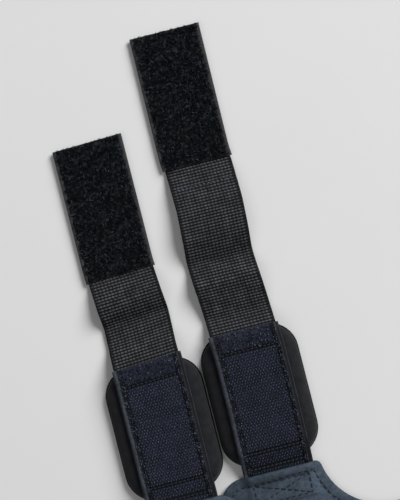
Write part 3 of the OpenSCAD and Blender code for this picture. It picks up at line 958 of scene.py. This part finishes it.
def swell(obj, g):
    """Remeshes the pad, blows it up a little as cloth, and caps how far a point may move."""
    remesh = obj.modifiers.new("remesh", "REMESH")
    remesh.mode, remesh.voxel_size = "VOXEL", VOXEL*MM
    graph = bpy.context.evaluated_depsgraph_get()
    obj.data = bpy.data.meshes.new_from_object(obj.evaluated_get(graph))
    obj.modifiers.clear()
    start = np.array([v.co for v in obj.data.vertices])
    x = np.abs(start[:, 0]/MM - g.ox)
    held = (x < g.web_w/2 + 0.6) | (start[:, 2]/MM < g.backing_t + 0.5)
    group = obj.vertex_groups.new(name="held")
    group.add(np.nonzero(held)[0].tolist(), 1.0, "REPLACE")
    cloth = obj.modifiers.new("cloth", "CLOTH")
    cloth.settings.vertex_group_mass = "held"
    cloth.settings.use_pressure = True
    cloth.settings.uniform_pressure_force = PRESSURE
    cloth.settings.effector_weights.gravity = 0
    scene = bpy.context.scene
    for f in range(1, SWELL_FRAMES + 1):
        scene.frame_set(f)
    graph = bpy.context.evaluated_depsgraph_get()
    moved = obj.evaluated_get(graph).to_mesh()
    end = np.array([v.co for v in moved.vertices])
    shift = end - start
    size = np.linalg.norm(shift, axis=1, keepdims=True)
    end = start + shift*np.minimum(1, SWELL_CAP*MM/np.maximum(size, 1e-12))
    obj.modifiers.clear()
    scene.frame_set(1)
    obj.data.vertices.foreach_set("co", end.ravel())
    relax = obj.modifiers.new("relax", "SMOOTH")
    relax.factor, relax.iterations = 0.5, 6
    finer = obj.modifiers.new("finer", "SUBSURF")
    finer.levels = finer.render_levels = 1
    graph = bpy.context.evaluated_depsgraph_get()
    mesh = bpy.data.meshes.new_from_object(obj.evaluated_get(graph))
    obj.modifiers.clear()
    obj.data = mesh
    mesh.materials.clear()
    mesh.materials.append(KNIT)
    mesh.shade_smooth()


def backing(g):
    s = Shape(g)
    rings = []
    for d, top, low in ((6, 0, 0), (2.2, 0, 0), (1.0, 0.02, 0.02), (0.4, 0.15, 0.12), (0.0, 0.4, 0.35)):
        o = pad_outline(g, d)
        rings.append((np.c_[o, np.full(len(o), g.backing_t - 0.02 - top)], np.c_[o, np.full(len(o), low)]))
    middle = np.array([0, (g.pad_y0 + g.pad_y1)/2, 0])
    face = np.array([0, 0, g.backing_t - 0.02])
    first_top, first_low = rings[0]
    core_t = [middle + face + (first_top - face - middle)*k for k in (0.0, 0.5)]
    core_l = [middle + (first_low - middle)*k for k in (0.0, 0.5)]
    top = np.stack(core_t + [r[0] for r in rings])
    low = np.stack(core_l + [r[1] for r in rings])
    top = np.concatenate([top, top[:, :1]], axis=1)[:, ::-1]
    low = np.concatenate([low, low[:, :1]], axis=1)[:, ::-1]
    s.slab(top, low)
    piece = s.make("pad_backing", [BACKING])
    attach(piece, g.node("cuff"))
    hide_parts(g.node("pad_backing"))


def keeper(g):
    """Webbing folded round the ring, both ends sewn in side by side."""
    r = g.keeper_r - g.web_t/2
    stack = g.ring_z - g.keeper_r + g.lining_t + g.web_t
    y_in = -g.band_l + g.keeper_l
    y_out = -g.band_l + 0.5
    around = arc(g.ring_y, g.ring_z, r, math.radians(70), math.radians(290), 26)
    path = ([(y_in, stack + g.web_t/2), (y_out, stack + g.web_t/2)] + around
            + [(y_out, stack - g.web_t/2), (y_in, stack - g.web_t/2)])
    path = resample(path, 0.25)
    path = np.stack([np.convolve(np.pad(path[:, k], 3, mode="edge"), np.ones(7)/7, "valid")
                     for k in (0, 1)], axis=1)
    t = np.gradient(path, axis=0)
    t /= np.linalg.norm(t, axis=1, keepdims=True)
    normal = np.stack([-t[:, 1], t[:, 0]], axis=1)
    s = np.arange(len(path))*0.25
    x = np.linspace(-g.web_w/2, g.web_w/2, 97)
    ss, xx = np.meshgrid(s, x, indexing="ij")
    out = -g.web_t/2 - 0.25*(weave(xx, ss) - 0.9)

    def place(off):
        yz = path[:, None, :] + normal[:, None, :]*off[..., None]
        return np.concatenate([xx[..., None], yz], axis=-1)
    shape = Shape(g)
    inside = np.full(out.shape, g.web_t/2 - 0.05)
    shape.slab(place(out)[::-1], place(inside)[::-1], tone=web_tone(xx, ss)[::-1])
    piece = shape.make("ring_keeper", [WEBBING])
    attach(piece, g.node("band"))
    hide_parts(g.node("ring_keeper"))


def recoat(node, material):
    """A CAD node keeps its shape and gets a finished material."""
    mesh = frame["nodes"][node].data
    mesh.materials.clear()
    mesh.materials.append(material)


# ---------------------------------------------------------------- studio
def studio(g):
    """Pale floor, soft light from the upper right, and a camera that looks straight down."""
    aim = g.point(*AIM)
    camera = bpy.data.cameras.new("camera")
    camera.lens = LENS
    distance = VIEW_H*MM*camera.lens/camera.sensor_width
    eye = bpy.data.objects.new("camera", camera)
    eye.location = (aim[0], aim[1], distance + 4*MM)
    eye.rotation_euler = (0, 0, -LEAN)
    bpy.context.scene.collection.objects.link(eye)
    bpy.context.scene.camera = eye

    bpy.ops.mesh.primitive_plane_add(size=6, location=(0, 0, -FLOOR_DROP*MM))
    floor = bpy.context.object
    floor.name = "floor"
    m = Nodes("floor_paper", 0.9, specular=0.1)
    m.colour(m.ramp(m.noise(60, 2), [(0.3, (0.745, 0.745, 0.745)), (0.7, (0.755, 0.755, 0.755))]))
    floor.data.materials.append(m.material)

    up = np.array([math.sin(LEAN), math.cos(LEAN)])
    right = np.array([math.cos(LEAN), -math.sin(LEAN)])

    def lamp(name, ahead, side, height, size, power):
        light = bpy.data.lights.new(name, "AREA")
        light.size, light.energy = size, power
        light.shape = "DISK"
        o = bpy.data.objects.new(name, light)
        spot = np.array(aim[:2]) + up*ahead + right*side
        o.location = (spot[0], spot[1], height)
        direction = np.array([aim[0], aim[1], 0]) - np.array(o.location)
        o.rotation_euler = Vector(direction).to_track_quat("-Z", "Y").to_euler()
        bpy.context.scene.collection.objects.link(o)
    for name, values in LAMPS.items():
        lamp(name, *values)
    world = bpy.data.worlds.new("studio")
    world.use_nodes = True
    world.node_tree.nodes["Background"].inputs["Color"].default_value = (1, 1, 1, 1)
    world.node_tree.nodes["Background"].inputs["Strength"].default_value = AMBIENT
    bpy.context.scene.world = world
    bpy.context.scene.view_settings.view_transform = "Standard"


for side in ("right", "left"):
    grip = Grip(side)
    if side == "right":
        studio(grip)
    strap(grip)
    hook_tape(grip)
    hook_seams(grip)
    loop_tape(grip)
    tail_seams(grip)
    leather(grip)
    lining(grip)
    leather_seams(grip)
    pad(grip)
    backing(grip)
    keeper(grip)
    recoat(grip.node("ring"), METAL)
    recoat(grip.node("pad_foam"), FOAM)
